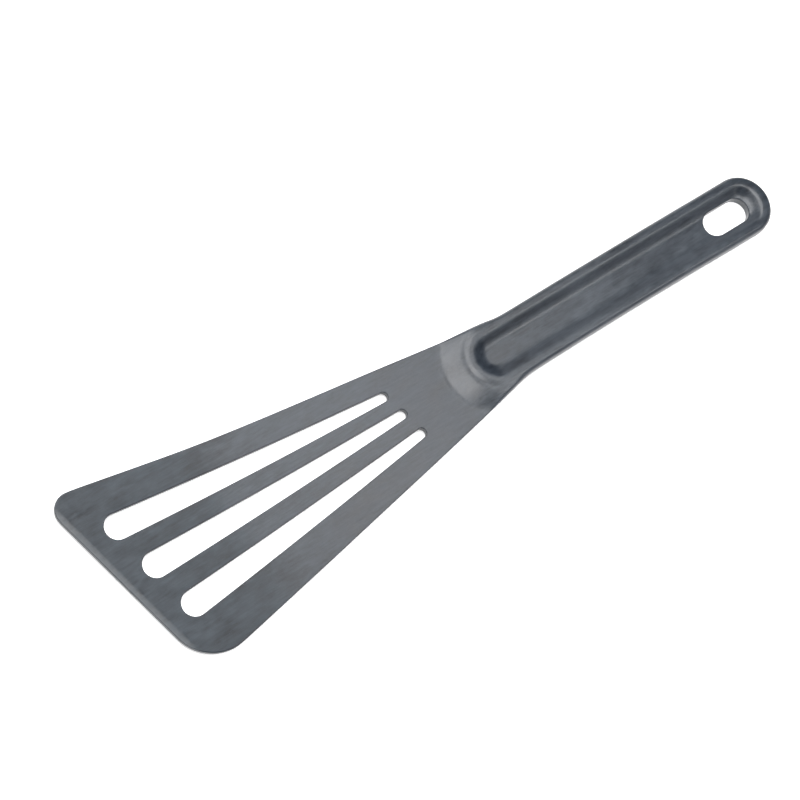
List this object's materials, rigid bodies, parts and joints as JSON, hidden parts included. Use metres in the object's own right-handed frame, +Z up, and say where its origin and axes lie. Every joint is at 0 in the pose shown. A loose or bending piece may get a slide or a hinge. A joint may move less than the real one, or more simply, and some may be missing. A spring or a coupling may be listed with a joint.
{
  "type": "grill spatula",
  "caption": "One-piece moulded slotted turner: thin fan-shaped blade with a slanted front edge and draining slots, and a channelled handle with a hanging hole.",
  "frame": {"origin": "centre of the bounding box in X and Y, on the plane of the handle's underside", "axes": "+X along the length from the blade's front edge to the handle's round end, +Y towards the side where the slanted front edge reaches furthest forward, +Z up out of the face with the handle channel"},
  "size_m": [0.2986, 0.074, 0.0063],
  "materials": {
    "nylon_grey": "satin moulded"
  },
  "bodies": {
    "root": {"spatula_body": "nylon_grey"}
  },
  "joints": []
}
